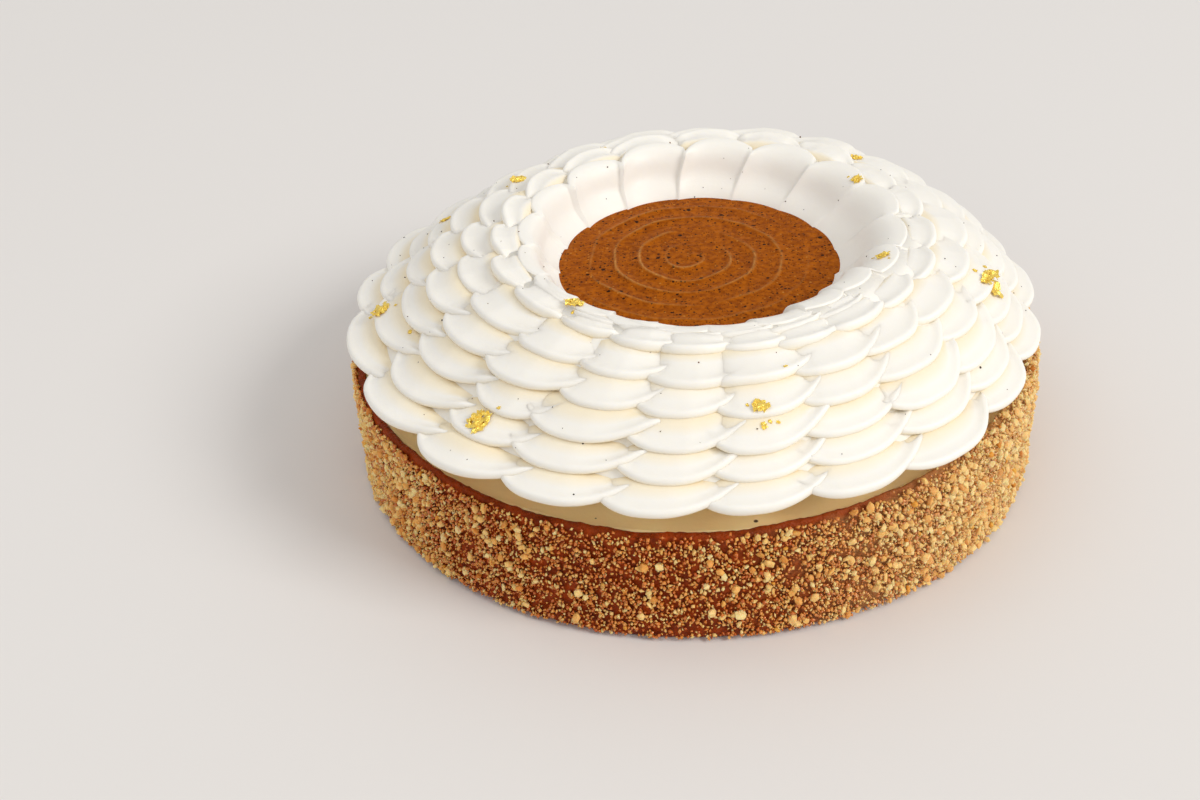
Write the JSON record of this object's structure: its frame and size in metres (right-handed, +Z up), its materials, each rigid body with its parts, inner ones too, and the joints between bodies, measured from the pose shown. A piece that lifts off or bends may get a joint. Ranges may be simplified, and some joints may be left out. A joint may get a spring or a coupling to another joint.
{
  "type": "macadamia tart",
  "caption": "Round tart: a straight-sided baked shell coated with chopped nuts, custard filling, a crown of piped cream petals with gold leaf, and a praline pool in its middle.",
  "frame": {"origin": "middle of the shell's flat underside", "axes": "+Z up, -Y towards the side the picture was taken from, +X to the right in it"},
  "size_m": [0.192, 0.192, 0.0667],
  "materials": {
    "nut_coated_shell": "dark baked pastry under golden chopped nuts",
    "custard": "soft satin custard with fine dark specks",
    "cream": "satin ivory cream with a few dark specks and gold leaf",
    "praline": "glossy caramel brown with dark specks"
  },
  "bodies": {
    "root": {"tart_shell": "nut_coated_shell", "custard_filling": "custard", "cream_petals": "cream", "praline_centre": "praline"}
  },
  "joints": []
}
